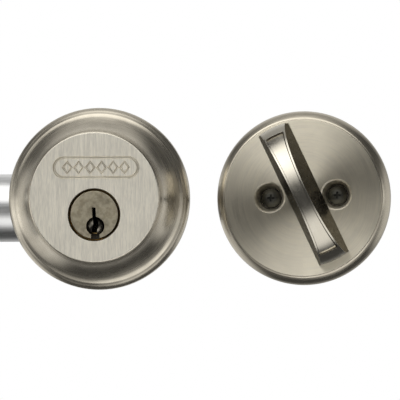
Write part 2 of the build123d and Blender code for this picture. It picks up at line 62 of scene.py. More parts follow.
housing_radius = (housing_high.z - housing_low.z) / 2
housing_front = housing_low.y
rose_radius = (rose_high.x - rose_low.x) / 2
rose_x = (rose_high.x + rose_low.x) / 2
rose_front = round(rose_low.y, 3)
plug_z = (plug_high.z + plug_low.z) / 2
plug_head_radius = (plug_high.z - plug_low.z) / 2
plug_front = plug_low.y
screw_head_radius = 3.7
cup_z = (bolts_high.z + bolts_low.z) / 2
cup_rise = (bolts_high.z - bolts_low.z) / 2 - screw_head_radius
cup_spread = (bolts_high.x - bolts_low.x) / 2 - screw_head_radius
turn_x = (turn_high.x + turn_low.x) / 2
turn_z = (turn_high.z + turn_low.z) / 2
turn_angle = radians(-25.3)
turn_foot = rose_front - 0.3


# Outlines and meshes

def softened(points, radius, steps=4):
    """A copy of an open outline with each inner corner rounded."""
    result = [points[0]]
    for before, corner, after in zip(points, points[1:], points[2:]):
        start = toward(corner, before, radius)
        end = toward(corner, after, radius)
        for step in range(steps + 1):
            t = step / steps
            result.append(tuple(
                (1 - t) ** 2 * a + 2 * t * (1 - t) * b + t * t * c for a, b, c in zip(start, corner, end)
            ))
    return result + [points[-1]]


def toward(corner, other, distance):
    """The point at a distance from a corner, or halfway to the next one if that is nearer."""
    dx = other[0] - corner[0]
    dy = other[1] - corner[1]
    length = sqrt(dx * dx + dy * dy)
    share = min(0.5, distance / length)
    return corner[0] + dx * share, corner[1] + dy * share


def hollow_arc(start, end, steps):
    """A concave quarter-like arc that leaves start along +Y and swings outward to end."""
    run = end[0] - start[0]
    rise = end[1] - start[1]
    sweep = 2 * atan2(run, rise)
    radius = rise / sin(sweep)
    return [
        (start[0] + radius * (1 - cos(sweep * n / steps)), start[1] + radius * sin(sweep * n / steps))
        for n in range(steps + 1)
    ]


def bulge(start, end, height, steps):
    """A shallow convex curve from start to end; height is how far it stands off the chord."""
    dx = end[0] - start[0]
    dy = end[1] - start[1]
    length = sqrt(dx * dx + dy * dy)
    out = (dy / length, -dx / length)
    points = []
    for n in range(steps + 1):
        t = n / steps
        lift = 4 * height * t * (1 - t)
        points.append((start[0] + dx * t + out[0] * lift, start[1] + dy * t + out[1] * lift))
    return points


def lathe(outline, x, z, segments, closed=False):
    """A solid turned about the line through (x, z) along Y, from (radius, y) points in millimetres."""
    shape = bmesh.new()
    rings = []
    for radius, y in outline:
        if radius == 0:
            rings.append([shape.verts.new((x * mm, y * mm, z * mm))])
            continue
        ring = []
        for n in range(segments):
            angle = 2 * pi * n / segments
            across = x + radius * sin(angle)
            up = z + radius * cos(angle)
            ring.append(shape.verts.new((across * mm, y * mm, up * mm)))
        rings.append(ring)
    pairs = list(zip(rings, rings[1:]))
    if closed:
        pairs.append((rings[-1], rings[0]))
    for one, two in pairs:
        for n in range(segments):
            after = (n + 1) % segments
            if len(one) == 1 and len(two) == 1:
                continue
            if len(one) == 1:
                shape.faces.new((one[0], two[n], two[after]))
            elif len(two) == 1:
                shape.faces.new((one[n], two[0], one[after]))
            else:
                shape.faces.new((one[n], two[n], two[after], one[after]))
    bmesh.ops.recalc_face_normals(shape, faces=shape.faces)
    return shape


def prism(outline, start, end):
    """A prism on an (x, z) outline between two values of Y."""
    shape = bmesh.new()
    near = []
    far = []
    for x, z in outline:
        near.append(shape.verts.new((x * mm, start * mm, z * mm)))
        far.append(shape.verts.new((x * mm, end * mm, z * mm)))
    shape.faces.new(near)
    shape.faces.new(list(reversed(far)))
    for n in range(len(outline)):
        after = (n + 1) % len(outline)
        shape.faces.new((near[n], far[n], far[after], near[after]))
    bmesh.ops.recalc_face_normals(shape, faces=shape.faces)
    return shape


def groove(path, half_width, y, depth):
    """A closed channel with sloping sides along an (x, z) path, as a cutter that stands proud of y."""
    proud = 0.5
    floor_share = 0.45
    section = (
        (1.0, y - proud), (1.0, y), (floor_share, y + depth),
        (-floor_share, y + depth), (-1.0, y), (-1.0, y - proud),
    )
    shape = bmesh.new()
    count = len(path)
    rows = []
    for n in range(count):
        before = Vector(path[n - 1])
        here = Vector(path[n])
        after = Vector(path[(n + 1) % count])
        along = ((here - before).normalized() + (after - here).normalized()).normalized()
        side = Vector((along.y, -along.x))
        row = []
        for reach, level in section:
            spot = here + side * reach * half_width
            row.append(shape.verts.new((spot.x * mm, level * mm, spot.y * mm)))
        rows.append(row)
    for n in range(count):
        one = rows[n]
        two = rows[(n + 1) % count]
        for k in range(len(one)):
            after = (k + 1) % len(one)
            shape.faces.new((one[k], two[k], two[after], one[after]))
    bmesh.ops.recalc_face_normals(shape, faces=shape.faces)
    return shape


def combined(shapes):
    """Several meshes as one, without joining their surfaces."""
    whole = bmesh.new()
    for shape in shapes:
        mesh = bpy.data.meshes.new("part")
        shape.to_mesh(mesh)
        shape.free()
        whole.from_mesh(mesh)
        bpy.data.meshes.remove(mesh)
    return whole


def as_object(name, shape):
    mesh = bpy.data.meshes.new(name)
    shape.to_mesh(mesh)
    shape.free()
    thing = bpy.data.objects.new(name, mesh)
    bpy.context.scene.collection.objects.link(thing)
    return thing


def settle(thing):
    """Applies the modifiers of an object to its mesh."""
    view = bpy.context.evaluated_depsgraph_get()
    finished = bpy.data.meshes.new_from_object(thing.evaluated_get(view))
    thing.modifiers.clear()
    worn_out = thing.data
    thing.data = finished
    bpy.data.meshes.remove(worn_out)


def carve(thing, shapes, operation="DIFFERENCE"):
    """Cuts the shapes out of an object, or joins them to it."""
    for shape in shapes:
        tool = as_object("tool", shape)
        cutter = thing.modifiers.new("carve", "BOOLEAN")
        cutter.operation = operation
        cutter.solver = "EXACT"
        cutter.object = tool
        settle(thing)
        bpy.data.objects.remove(tool)


def ease_edges(thing, width, angle, segments):
    """Small rounded edges that catch the light."""
    bevel = thing.modifiers.new("edges", "BEVEL")
    bevel.width = width * mm
    bevel.segments = segments
    bevel.limit_method = "ANGLE"
    bevel.angle_limit = radians(angle)
    settle(thing)


def smooth(thing):
    """Smooth shading that keeps flat faces flat and corners of over 30 degrees sharp."""
    thing.data.shade_smooth()
    thing.data.set_sharp_from_angle(angle=radians(30))
    normals = thing.modifiers.new("normals", "WEIGHTED_NORMAL")
    normals.keep_sharp = True
    normals.weight = 100
    settle(thing)


def fit_piece(thing, body, slot, replaced, *materials):
    """Finishes a piece, gives it its metals and puts it in place of its CAD node."""
    smooth(thing)
    thing.data.materials.clear()
    for material in materials:
        thing.data.materials.append(material)
    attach(thing, body)
    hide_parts(replaced)


# Node tools

def new_group(name, inputs, outputs):
    group = bpy.data.node_groups.new(name, "ShaderNodeTree")
    for label, kind, default in inputs:
        socket = group.interface.new_socket(name=label, in_out="INPUT", socket_type=kind)
        socket.default_value = default
    for label, kind in outputs:
        group.interface.new_socket(name=label, in_out="OUTPUT", socket_type=kind)
    return group, group.nodes.new("NodeGroupInput"), group.nodes.new("NodeGroupOutput")


def add(tree, kind, **settings):
    node = tree.nodes.new(kind)
    for name, value in settings.items():
        setattr(node, name, value)
    return node


def math(tree, operation, first, second=None):
    """A Math node fed by sockets or numbers; gives its output."""
    node = add(tree, "ShaderNodeMath", operation=operation)
    feed(tree, node.inputs[0], first)
    if second is not None:
        feed(tree, node.inputs[1], second)
    return node.outputs[0]


def feed(tree, socket, value):
    """Links an output to a socket, or sets the socket to a plain value."""
    if isinstance(value, bpy.types.NodeSocket):
        tree.links.new(value, socket)
    else:
        socket.default_value = value


def spread(tree, value, low, high, out_low, out_high):
    """A smooth Map Range node; gives its output."""
    node = add(tree, "ShaderNodeMapRange", interpolation_type="SMOOTHSTEP")
    feed(tree, node.inputs["Value"], value)
    feed(tree, node.inputs["From Min"], low)
    feed(tree, node.inputs["From Max"], high)
    feed(tree, node.inputs["To Min"], out_low)
    feed(tree, node.inputs["To Max"], out_high)
    return node.outputs["Result"]


def mixed(tree, kind, share, first, second):
    """A Mix node of kind FLOAT or RGBA, fed by sockets or plain values; gives its output."""
    first_socket, second_socket, result = {"FLOAT": (2, 3, 0), "RGBA": (6, 7, 2)}[kind]
    node = add(tree, "ShaderNodeMix", data_type=kind)
    feed(tree, node.inputs[0], share)
    feed(tree, node.inputs[first_socket], first)
    feed(tree, node.inputs[second_socket], second)
    return node.outputs[result]


def straight_brush_group():
    """Long scratches along one axis: Stretch scales the metal's own coordinates."""
    group, inside, outside = new_group(
        "straight_brush",
        [("Stretch", "NodeSocketVector", (1500, 1500, 60)), ("Fine", "NodeSocketFloat", 3.0)],
        [("Streak", "NodeSocketFloat"), ("Haze", "NodeSocketFloat")],
    )
    place = add(group, "ShaderNodeTexCoord")
    scaled = add(group, "ShaderNodeVectorMath", operation="MULTIPLY")
    group.links.new(place.outputs["Object"], scaled.inputs[0])
    group.links.new(inside.outputs["Stretch"], scaled.inputs[1])
    streak = add(group, "ShaderNodeTexNoise")
    streak.inputs["Scale"].default_value = 1.0
    group.links.new(inside.outputs["Fine"], streak.inputs["Detail"])
    group.links.new(scaled.outputs[0], streak.inputs["Vector"])
    haze = add(group, "ShaderNodeTexNoise")
    haze.inputs["Scale"].default_value = 0.23
    haze.inputs["Detail"].default_value = 2.0
    group.links.new(scaled.outputs[0], haze.inputs["Vector"])
    group.links.new(streak.outputs["Fac"], outside.inputs["Streak"])
    group.links.new(haze.outputs["Fac"], outside.inputs["Haze"])
    return group


def round_brush_group():
    """Scratches that run in circles about an axis along Y through Centre."""
    group, inside, outside = new_group(
        "round_brush",
        [("Centre", "NodeSocketVector", (0, 0, 0)), ("Rings", "NodeSocketFloat", 1500.0),
         ("Turns", "NodeSocketFloat", 2.5)],
        [("Streak", "NodeSocketFloat"), ("Haze", "NodeSocketFloat")],
    )
    place = add(group, "ShaderNodeTexCoord")
    moved = add(group, "ShaderNodeVectorMath", operation="SUBTRACT")
    group.links.new(place.outputs["Object"], moved.inputs[0])
    group.links.new(inside.outputs["Centre"], moved.inputs[1])
    parts = add(group, "ShaderNodeSeparateXYZ")
    group.links.new(moved.outputs[0], parts.inputs[0])
    across = math(group, "POWER", parts.outputs["X"], 2.0)
    up = math(group, "POWER", parts.outputs["Z"], 2.0)
    radius = math(group, "SQRT", math(group, "ADD", across, up))
    angle = math(group, "ARCTAN2", parts.outputs["X"], parts.outputs["Z"])
    depth = math(group, "MULTIPLY", parts.outputs["Y"], inside.outputs["Rings"])
    wound = add(group, "ShaderNodeCombineXYZ")
    group.links.new(math(group, "MULTIPLY", radius, inside.outputs["Rings"]), wound.inputs["X"])
    group.links.new(math(group, "MULTIPLY", angle, inside.outputs["Turns"]), wound.inputs["Y"])
    group.links.new(depth, wound.inputs["Z"])
    streak = add(group, "ShaderNodeTexNoise")
    streak.inputs["Scale"].default_value = 1.0
    streak.inputs["Detail"].default_value = 3.0
    group.links.new(wound.outputs[0], streak.inputs["Vector"])
    haze = add(group, "ShaderNodeTexNoise")
    haze.inputs["Scale"].default_value = 0.21
    haze.inputs["Detail"].default_value = 2.0
    group.links.new(wound.outputs[0], haze.inputs["Vector"])
    group.links.new(streak.outputs["Fac"], outside.inputs["Streak"])
    group.links.new(haze.outputs["Fac"], outside.inputs["Haze"])
    return group


def handling_group():
    """Soft blotches of tarnish and handling."""
    group, inside, outside = new_group(
        "handling",
        [("Size", "NodeSocketFloat", 120.0), ("Low", "NodeSocketFloat", 0.4),
         ("High", "NodeSocketFloat", 0.65)],
        [("Mask", "NodeSocketFloat")],
    )
    place = add(group, "ShaderNodeTexCoord")
    blotch = add(group, "ShaderNodeTexNoise")
    blotch.inputs["Detail"].default_value = 4.0
    blotch.inputs["Roughness"].default_value = 0.6
    group.links.new(place.outputs["Object"], blotch.inputs["Vector"])
    group.links.new(inside.outputs["Size"], blotch.inputs["Scale"])
    result = spread(group, blotch.outputs["Fac"], inside.outputs["Low"], inside.outputs["High"], 0.0, 1.0)
    group.links.new(result, outside.inputs["Mask"])
    return group


def worn_edge_group():
    """Bright rubbed edges, from how far the surface turns within a small radius."""
    group, inside, outside = new_group(
        "worn_edge",
        [("Radius", "NodeSocketFloat", 0.00025)],
        [("Mask", "NodeSocketFloat")],
    )
    surface = add(group, "ShaderNodeNewGeometry")
    eased = add(group, "ShaderNodeBevel", samples=4)
    group.links.new(inside.outputs["Radius"], eased.inputs["Radius"])
    agree = add(group, "ShaderNodeVectorMath", operation="DOT_PRODUCT")
    group.links.new(surface.outputs["Normal"], agree.inputs[0])
    group.links.new(eased.outputs["Normal"], agree.inputs[1])
    result = spread(group, agree.outputs["Value"], 0.995, 0.90, 0.0, 1.0)
    group.links.new(result, outside.inputs["Mask"])
    return group


def fine_grain_group():
    """An even grain with no direction, for cast, blasted and moulded surfaces."""
    group, inside, outside = new_group(
        "fine_grain",
        [("Scale", "NodeSocketFloat", 900.0)],
        [("Streak", "NodeSocketFloat"), ("Haze", "NodeSocketFloat")],
    )
    place = add(group, "ShaderNodeTexCoord")
    grain = add(group, "ShaderNodeTexNoise")
    grain.inputs["Detail"].default_value = 3.0
    haze = add(group, "ShaderNodeTexNoise")
    haze.inputs["Detail"].default_value = 2.0
    for noise, share in ((grain, 1.0), (haze, 0.2)):
        group.links.new(place.outputs["Object"], noise.inputs["Vector"])
        group.links.new(math(group, "MULTIPLY", inside.outputs["Scale"], share), noise.inputs["Scale"])
    group.links.new(grain.outputs["Fac"], outside.inputs["Streak"])
    group.links.new(haze.outputs["Fac"], outside.inputs["Haze"])
    return group


def metal_finish_group():
    """Tone, roughness and relief of a finished surface: streaks, tarnish blotches and rubbed edges."""
    group, inside, outside = new_group(
        "metal_finish",
        [("Metal", "NodeSocketColor", (0.5, 0.5, 0.5, 1)),
         ("Tarnish", "NodeSocketColor", (0.4, 0.4, 0.4, 1)),
         ("Rubbed", "NodeSocketColor", (0.7, 0.7, 0.7, 1)), ("Streak", "NodeSocketFloat", 0.5),
         ("Haze", "NodeSocketFloat", 0.5), ("Blotch Size", "NodeSocketFloat", 110.0),
         ("Blotch Share", "NodeSocketFloat", 0.35), ("Edge Share", "NodeSocketFloat", 0.3),
         ("Contrast", "NodeSocketFloat", 0.1), ("Roughness", "NodeSocketFloat", 0.4),
         ("Relief", "NodeSocketFloat", 0.15)],
        [("Color", "NodeSocketColor"), ("Roughness", "NodeSocketFloat"), ("Normal", "NodeSocketVector")],
    )
    blotch = add(group, "ShaderNodeGroup", node_tree=handling)
    group.links.new(inside.outputs["Blotch Size"], blotch.inputs["Size"])
    edge = add(group, "ShaderNodeGroup", node_tree=worn_edge)

    tarnished = math(group, "MULTIPLY", blotch.outputs["Mask"], inside.outputs["Blotch Share"])
    tone = mixed(group, "RGBA", tarnished, inside.outputs["Metal"], inside.outputs["Tarnish"])

    fine = math(group, "MULTIPLY", inside.outputs["Streak"], 0.6)
    broad = math(group, "MULTIPLY", inside.outputs["Haze"], 0.4)
    lines = math(group, "ADD", fine, broad)
    darker = math(group, "SUBTRACT", 1.0, inside.outputs["Contrast"])
    lighter = math(group, "ADD", 1.0, inside.outputs["Contrast"])
    lined = add(group, "ShaderNodeVectorMath", operation="SCALE")
    group.links.new(tone, lined.inputs[0])
    group.links.new(spread(group, lines, 0.35, 0.65, darker, lighter), lined.inputs["Scale"])

    worn = math(group, "MULTIPLY", edge.outputs["Mask"], inside.outputs["Edge Share"])
    rubbed = mixed(group, "RGBA", worn, lined.outputs[0], inside.outputs["Rubbed"])
    group.links.new(rubbed, outside.inputs["Color"])

    smoother = math(group, "MULTIPLY", inside.outputs["Roughness"], 0.85)
    rougher = math(group, "MULTIPLY", inside.outputs["Roughness"], 1.15)
    group.links.new(spread(group, lines, 0.3, 0.7, smoother, rougher), outside.inputs["Roughness"])

    relief = add(group, "ShaderNodeBump")
    relief.inputs["Distance"].default_value = 0.02 * mm
    group.links.new(inside.outputs["Relief"], relief.inputs["Strength"])
    group.links.new(inside.outputs["Streak"], relief.inputs["Height"])
    group.links.new(relief.outputs["Normal"], outside.inputs["Normal"])
    return group


straight_brush = straight_brush_group()
round_brush = round_brush_group()
fine_grain = fine_grain_group()
handling = handling_group()
worn_edge = worn_edge_group()
metal_finish = metal_finish_group()


# Metals

def metal(name, colour, tarnish, roughness, brush, brush_values, anisotropic=0.0, contrast=0.06, relief=0.15,
          blotch_size=110.0, blotch_share=0.35, edge_share=0.3, metallic=1.0, grazing=1.0):
    """A faintly tarnished metal, half as bright again on its rubbed edges. Colours are linear RGB."""
    material = bpy.data.materials.new(name)
    material.use_nodes = True
    tree = material.node_tree
    shader = tree.nodes["Principled BSDF"]
    shader.inputs["Metallic"].default_value = metallic
    # A grazing below 1 darkens the sheen at grazing angles, a painted shade.
    shader.inputs["Specular Tint"].default_value = (grazing, grazing, grazing, 1)
    streak = add(tree, "ShaderNodeGroup", node_tree=brush)
    finish = add(tree, "ShaderNodeGroup", node_tree=metal_finish)
    rubbed = [min(1.0, share * 1.5) for share in colour]
    values = {
        "Metal": (*colour, 1), "Tarnish": (*tarnish, 1), "Rubbed": (*rubbed, 1),
        "Blotch Size": blotch_size, "Blotch Share": blotch_share, "Edge Share": edge_share,
        "Contrast": contrast, "Roughness": roughness, "Relief": relief,
    }
    for node, settings in ((streak, brush_values), (finish, values)):
        for label, value in settings.items():
            node.inputs[label].default_value = value
    tree.links.new(streak.outputs["Streak"], finish.inputs["Streak"])
    tree.links.new(streak.outputs["Haze"], finish.inputs["Haze"])
    tree.links.new(finish.outputs["Color"], shader.inputs["Base Color"])
    tree.links.new(finish.outputs["Roughness"], shader.inputs["Roughness"])
    tree.links.new(finish.outputs["Normal"], shader.inputs["Normal"])
    if anisotropic:
        shader.inputs["Anisotropic"].default_value = anisotropic
        shader.inputs["Anisotropic Rotation"].default_value = 0.25
        direction = add(tree, "ShaderNodeTangent", direction_type="RADIAL", axis="Y")
        tree.links.new(direction.outputs[0], shader.inputs["Tangent"])
    return material


nickel = (0.60, 0.56, 0.475)
nickel_dark = (0.42, 0.385, 0.32)
rose_turning = {"Centre": (rose_x * mm, 0, 0), "Rings": 3000.0, "Turns": 3.0}

face_metal = metal(
    "brushed_nickel_face", (0.85, 0.82, 0.735), (0.78, 0.745, 0.655), 0.60, straight_brush,
    {"Stretch": (6500, 400, 420), "Fine": 3.0}, contrast=0.10, relief=0.25, blotch_share=0.2, edge_share=0.0,
)
ring_metal = metal(
    "brushed_nickel_ring", nickel, nickel_dark, 0.28, round_brush,
    {"Centre": (0, 0, 0), "Rings": 2600.0, "Turns": 4.0}, anisotropic=0.4, contrast=0.05, relief=0.08,
    edge_share=0.5,
)
rose_metal = metal(
    "spun_nickel_rose", (0.88, 0.83, 0.70), (0.62, 0.58, 0.49), 0.50, round_brush, rose_turning,
    anisotropic=0.9, contrast=0.05, relief=0.05, blotch_share=0.2, edge_share=0.0,
)
bevel_metal = metal(
    "brushed_nickel_bevel", (0.50, 0.465, 0.39), nickel_dark, 0.28, round_brush, rose_turning,
    anisotropic=0.4, contrast=0.05, relief=0.06, edge_share=0.6,
)
cup_metal = metal(
    "turned_nickel_cup", (0.80, 0.76, 0.66), nickel_dark, 0.48, fine_grain, {"Scale": 900.0},
    relief=0.1,
)
turn_metal = metal(
    "satin_nickel_turn", (0.50, 0.475, 0.415), nickel_dark, 0.22, straight_brush,
    {"Stretch": (2600, 2600, 2600), "Fine": 3.0}, contrast=0.04, relief=0.05, blotch_share=0.2,
    edge_share=0.5,
)
# Painted shade: a near-black copy of the nickel, with a dark sheen at grazing angles, for the bore round the
# plug, the plug's bowl and slot, and the walls and ends of the thumbturn's dish.
painted_shade_metal = metal(
    "painted_shade_nickel_recess", (0.15, 0.138, 0.115), (0.09, 0.083, 0.07), 0.24, straight_brush,
    {"Stretch": (2600, 400, 2600), "Fine": 3.0}, relief=0.05, edge_share=0.2, grazing=0.32,
)
# Painted shade: a darker copy of the thumbturn's nickel, with a dark sheen at grazing angles, for the walls
# of the thumbturn's bar.
painted_shade_wall_metal = metal(
    "satin_nickel_wall_painted_shade", (0.42, 0.395, 0.34), nickel_dark, 0.26, straight_brush,
    {"Stretch": (2600, 400, 2600), "Fine": 3.0}, relief=0.05, edge_share=0.3, grazing=0.18,
)
plate_metal = metal(
    "brushed_nickel_plate", nickel, nickel_dark, 0.32, straight_brush,
    {"Stretch": (1500, 1500, 90), "Fine": 3.0}, contrast=0.05,
)
plug_metal = metal(
    "worn_nickel_plug", (0.45, 0.41, 0.315), (0.31, 0.275, 0.20), 0.56, fine_grain, {"Scale": 900.0},
    contrast=0.14, relief=0.3, blotch_size=420.0, blotch_share=0.8, edge_share=0.5,
)
screw_metal = metal(
    "dark_screw_steel", (0.10, 0.10, 0.09), (0.06, 0.06, 0.05), 0.46, fine_grain, {"Scale": 900.0},
    relief=0.2,
)
brass_metal = metal(
    "machined_brass", (0.66, 0.47, 0.20), (0.44, 0.30, 0.13), 0.30, round_brush,
    {"Centre": (0, 0, plug_z * mm), "Rings": 1800.0, "Turns": 1.5}, relief=0.2,
)
zinc_metal = metal(
    "zinc_plated_steel", (0.74, 0.75, 0.76), (0.58, 0.59, 0.60), 0.36, straight_brush,
    {"Stretch": (60, 1300, 1300), "Fine": 3.0}, blotch_share=0.5,
)
hard_metal = metal(
    "hardened_steel", (0.30, 0.30, 0.31), (0.22, 0.22, 0.23), 0.28, fine_grain, {"Scale": 1200.0},
)
spring_metal = metal(
    "spring_steel", (0.42, 0.42, 0.43), (0.30, 0.30, 0.31), 0.26, fine_grain, {"Scale": 1500.0},
)
black_acetal = metal(
    "black_acetal", (0.03, 0.03, 0.03), (0.05, 0.05, 0.05), 0.45, fine_grain, {"Scale": 700.0}, relief=0.2,
    metallic=0.0, edge_share=0.05,
)


# Outside housing

face_radius = 24.0
face_edge = 0.45
ridge_inner = (30.75, -4.9)
ridge_crest = (31.15, -4.75)
ridge_outer = (31.75, -4.2)
band_end = -2.2
housing_wall = 2.5
housing_hollow = 30
screw_boss_x = 14.5
screw_boss_z = 8
screw_boss_radius = 4
screw_boss_end = -4
bore_lip = 9.75
badge_x = 0.7
badge_z = 10.8
badge_length = 30.8
badge_height = 7.2
badge_line = 1.0
badge_depth = 0.45
lozenge_count = 6
lozenge_pitch = 4.2
lozenge_half_width = 1.6
lozenge_half_height = 2.1


def stadium(length, height, x, z):
    """An (x, z) outline with straight long sides and round ends."""
    steps = 14
    radius = height / 2
    reach = length / 2 - radius
    points = []
    for side in (1, -1):
        for n in range(steps + 1):
            angle = pi / 2 - pi * n / steps
            points.append((x + side * (reach + radius * cos(angle)), z + side * radius * sin(angle)))
    return points


def badge_cutters():
    """A generic badge: a stadium outline round a row of plain lozenges."""
    outlines = [stadium(badge_length, badge_height, badge_x, badge_z)]
    for n in range(lozenge_count):
        x = badge_x + (n - (lozenge_count - 1) / 2) * lozenge_pitch
        outlines.append([
            (x + lozenge_half_width, badge_z), (x, badge_z - lozenge_half_height),
            (x - lozenge_half_width, badge_z), (x, badge_z + lozenge_half_height),
        ])
    return [groove(outline, badge_line / 2, housing_front, badge_depth) for outline in outlines]


def housing_outline():
    """From the middle of the flat face out over the hollow side, ridge and band, and back in behind."""
    front = housing_front
    face = [(0, front), (14.0, front), (face_radius - face_edge, front), (face_radius, front + face_edge)]
    cove = hollow_arc(face[-1], ridge_inner, 22)
    ridge = softened([cove[-2], ridge_crest, ridge_outer], 0.3)
    band = bulge(ridge_outer, (housing_radius, band_end), 0.2, 8)
    back = [
        (housing_radius, 0), (housing_hollow, 0), (housing_hollow, -2.8), (27.5, -4.6),
        (20.8, front + housing_wall), (0, front + housing_wall),
    ]
    return softened(face, 0.25)[:-1] + cove[:-1] + ridge[1:] + band[1:] + back


def housing_shell():
    """The housing, with its screw bosses, the plug's bore and the badge, and a metal for each zone, the bore
    round the plug painted near black as shade.
    """
    front = housing_front
    thing = as_object("housing_shell", lathe(housing_outline(), 0, 0, 256))
    screw_boss = [
        (0, front + 1.5), (screw_boss_radius, front + 1.5),
        (screw_boss_radius, screw_boss_end), (0, screw_boss_end),
    ]
    carve(thing, [lathe(screw_boss, side * screw_boss_x, screw_boss_z, 48) for side in (-1, 1)], "UNION")
    mouth = [
        (0, front - 1), (10.2, front - 1), (bore_lip, front - 0.1),
        (9.46, front + 0.25), (9.42, front + 3), (0, front + 3),
    ]
    carve(thing, [lathe(mouth, 0, plug_z, 128)] + badge_cutters())
    fit_piece(
        thing, "root", "satin_nickel", "outside_housing", ring_metal, face_metal, painted_shade_metal, cup_metal,
    )
    ring_zone, face_zone, bore_painted_shade_zone, back_zone = range(4)
    face_reach = face_radius - 0.1
    lip_reach = 10.0
    back_reach = 22
    for face in thing.data.polygons:
        middle = face.center / mm
        from_axis = sqrt(middle.x**2 + middle.z**2)
        from_plug = sqrt(middle.x**2 + (middle.z - plug_z) ** 2)
        # Painted shade: the bore round the plug and the slope of its lip are near black.
        if from_plug < bore_lip - 0.03 and middle.y > front - 0.02:
            face.material_index = bore_painted_shade_zone
        elif from_axis < face_reach and middle.y < front + 0.04:
            face.material_index = face_zone
        elif from_plug < lip_reach and middle.y < front + 0.3:
            face.material_index = face_zone
        elif from_axis < back_reach and middle.y < front + 1:
            face.material_index = back_zone
        else:
            face.material_index = ring_zone


# Plug

plug_core_radius = 6.35
plug_step = -14.5
plug_end = 10.5
bowl_radius = 3.6
bowl_centre = Vector((0.4, plug_front - 1.2, plug_z - 4.2))


def keyway_outline():
    """The keyway's zigzag section, from its top down its right side and up its left."""
    points = [
        (-0.9, 2.7), (0.5, 2.6), (0.75, -0.9), (1.35, -2.4), (1.35, -4.6), (0.95, -5.2),
        (0.95, -6.9), (-1.0, -6.9), (-1.0, -4.4), (-0.6, -3.4), (-0.65, -0.9),
    ]
    return [(x, z + plug_z) for x, z in points]


def sphere_cutter(centre, radius):
    """A ball, as a cutter for a bowl."""
    shape = bmesh.new()
    bmesh.ops.create_uvsphere(shape, u_segments=64, v_segments=32, radius=radius * mm)
    bmesh.ops.translate(shape, verts=shape.verts, vec=centre * mm)
    return shape


def plug_body():
    """The plug's head and core, with the bowl, the slot at its lip and the keyway."""
    front = plug_front
    outline = softened([
        (0, front), (plug_head_radius, front), (plug_head_radius, plug_step),
        (plug_core_radius, plug_step), (plug_core_radius, plug_end), (0, plug_end),
    ], 0.3)
    thing = as_object("plug_body", lathe(outline, 0, plug_z, 128))
    lip_slot = [(-1.2, -7.0), (2.0, -7.0), (2.0, -9.5), (-1.2, -9.5)]
    carve(thing, [
        sphere_cutter(bowl_centre, bowl_radius),
        prism([(x, z + plug_z) for x, z in lip_slot], front - 1, front + 2.6),
        prism(keyway_outline(), front - 1, plug_end + 1),
    ])
    ease_edges(thing, 0.07, 40, 1)
    fit_piece(thing, "plug", "plug_nickel", "plug", plug_metal, painted_shade_metal)
    head_zone, recess_painted_shade_zone = range(2)
    slot_reach = 2.1
    for face in thing.data.polygons:
        middle = face.center / mm
        # Painted shade: the bowl, and the keyway and slot more than a millimetre in, are near black.
        in_bowl = (middle - bowl_centre).length < bowl_radius + 0.05 and middle.y > front + 0.1
        down_slot = abs(middle.x) < slot_reach and middle.y > front + 1.0
        face.material_index = recess_painted_shade_zone if in_bowl or down_slot else head_zone


# Inside rose

plateau_radius = 28.8
bevel_start = (29.1, -5.9)
bevel_end = -1.9
rose_hollow = 30
rose_inside = -4.5
cup_radius = 5.75
cup_floor = 1.8
cup_boss_radius = 6.3
cup_boss_bore = 2.3
cup_boss_end = 3.0
spindle_bore = 5.0
screw_shank_radius = 2.0
screw_tip = 23.8


def cup_places():
    """The centres of the two cups, on a line that rises a little to the right."""
    return [(rose_x + side * cup_spread, cup_z + side * cup_rise) for side in (-1, 1)]


def rose_outline():
    """From the middle of the raised front out over the bevelled band, and back in behind."""
    front = rose_front
    plateau = [(0, front), (28.0, front), (28.72, front), (plateau_radius, -5.95), bevel_start]
    bevel = bulge(bevel_start, (rose_radius, bevel_end), 0.45, 14)
    back = [
        (rose_radius, 0), (rose_hollow, 0), (rose_hollow, -2.2), (27.8, rose_inside), (0, rose_inside),
    ]
    return softened(plateau, 0.12) + bevel[1:] + back


def rose_plate():
    """The rose, with its two cups and the spindle's bore, and a metal for each zone."""
    front = rose_front
    thing = as_object("rose_plate", lathe(rose_outline(), rose_x, 0, 256))
    cup_boss = [
        (cup_boss_bore, -4.8), (cup_boss_radius, -4.8),
        (cup_boss_radius, cup_boss_end), (cup_boss_bore, cup_boss_end),
    ]
    well = [
        (0, front - 1), (6.2, front - 1), (cup_radius, front), (5.62, front + 0.12), (5.2, front + 0.55),
        (3.9, 1.6), (3.8, cup_floor), (0, cup_floor),
    ]
    bore = [(0, front - 1), (spindle_bore, front - 1), (spindle_bore, 1), (0, 1)]
    carve(thing, [lathe(cup_boss, x, z, 96, closed=True) for x, z in cup_places()], "UNION")
    carve(thing, [lathe(well, x, z, 96) for x, z in cup_places()] + [lathe(bore, turn_x, turn_z, 96)])
    fit_piece(thing, "root", "satin_nickel", "inside_rose", rose_metal, cup_metal, bevel_metal)
    front_zone, cup_zone, bevel_zone = range(3)
    cup_reach = 6.0
    front_reach = 28.6
    for face in thing.data.polygons:
        middle = face.center / mm
        from_cup = min((middle.x - x) ** 2 + (middle.z - z) ** 2 for x, z in cup_places())
        from_axis = (middle.x - rose_x) ** 2 + middle.z**2
        if from_cup < cup_reach**2 and middle.y > front + 0.05:
            face.material_index = cup_zone
        elif from_axis > front_reach**2 or middle.y > front + 1:
            face.material_index = bevel_zone
        else:
            face.material_index = front_zone


def cross_arms(x, z):
    """The two crossed slots of a screw's recess."""
    arms = []
    for half_x, half_z in ((1.3, 0.34), (0.34, 1.3)):
        corners = [(half_x, half_z), (half_x, -half_z), (-half_x, -half_z), (-half_x, half_z)]
        arms.append(prism([(x + dx, z + dz) for dx, dz in corners], -2, 0.7))
    return arms


